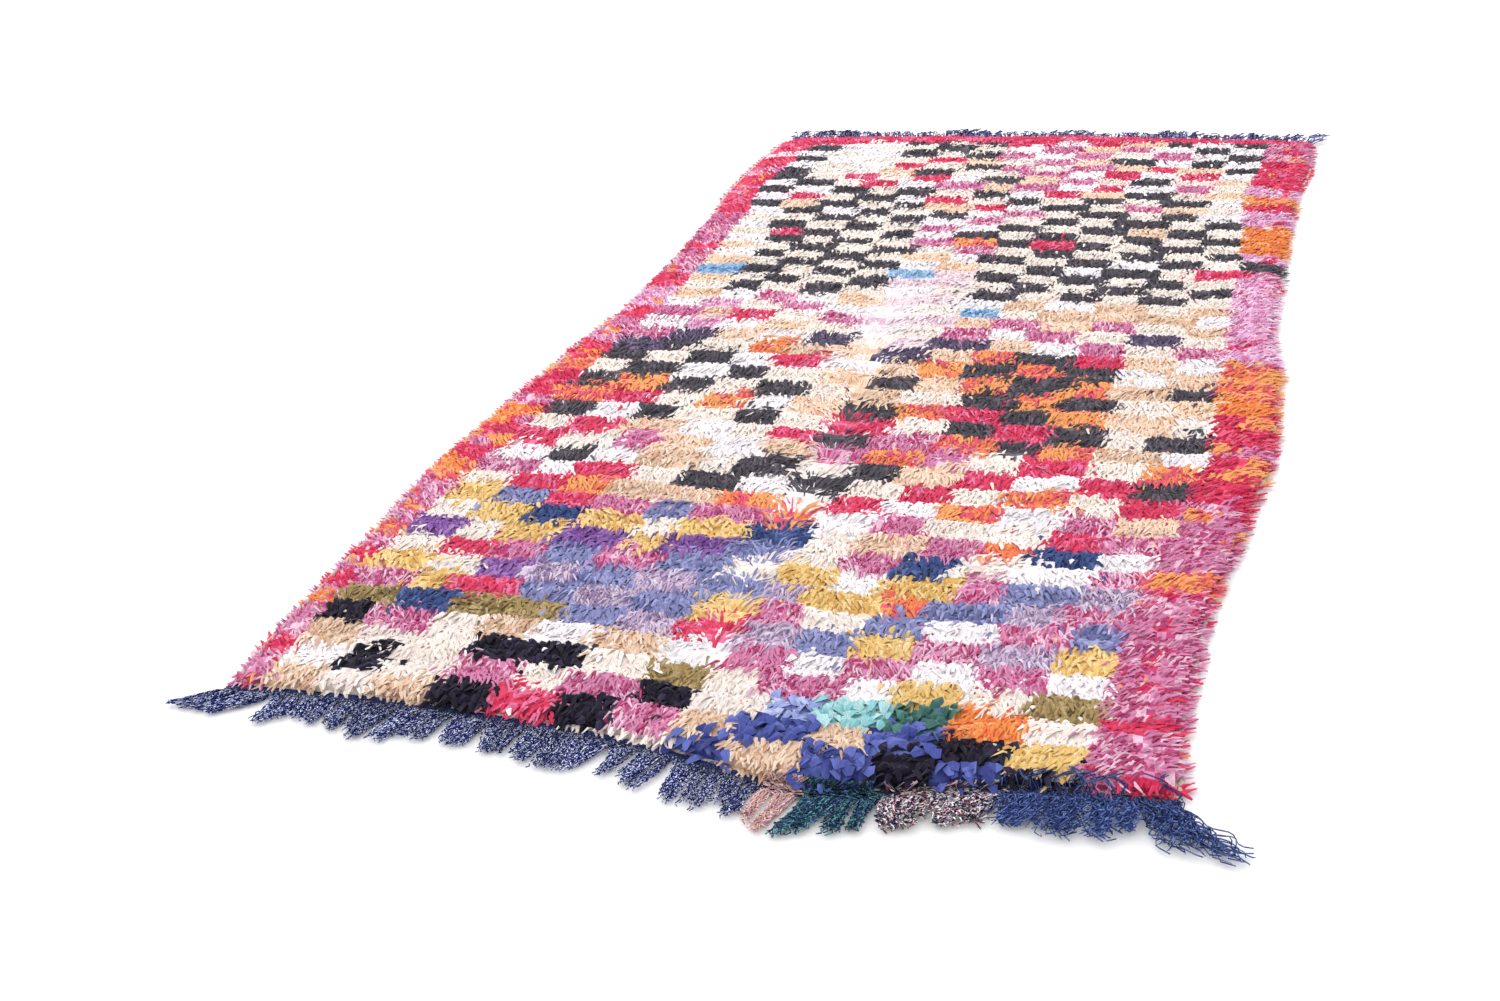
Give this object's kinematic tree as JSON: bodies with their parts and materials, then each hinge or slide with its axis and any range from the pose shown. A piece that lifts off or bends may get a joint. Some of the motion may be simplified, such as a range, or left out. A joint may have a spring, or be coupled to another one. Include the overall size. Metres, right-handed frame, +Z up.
{
  "type": "shag rag rug",
  "caption": "Flat oblong shag rug of knotted rags in small check bricks with bright side borders, a short curly fringe at one end and a long yarn fringe at the other.",
  "frame": {"origin": "the middle of the rug's underside, on the floor", "axes": "+Z up from the floor; +Y along the rug's length, from the end with the long fringe to the end with the short one; +X across it"},
  "size_m": [1.3888, 2.8464, 0.0331],
  "materials": {
    "rag_pile": "knotted rags, matte",
    "marl_yarn": "twisted yarn, matte",
    "salmon_yarn": "twisted yarn, matte",
    "green_yarn": "twisted yarn, matte",
    "tweed_yarn": "twisted yarn, matte",
    "blue_yarn": "loose fine yarn, matte",
    "navy_yarn": "curly yarn, matte"
  },
  "bodies": {
    "root": {"rug": "rag_pile", "fringe_near_marl": "marl_yarn", "fringe_near_salmon": "salmon_yarn", "fringe_near_green": "green_yarn", "fringe_near_tweed": "tweed_yarn", "fringe_near_blue": "blue_yarn", "fringe_far": "navy_yarn"}
  },
  "joints": []
}
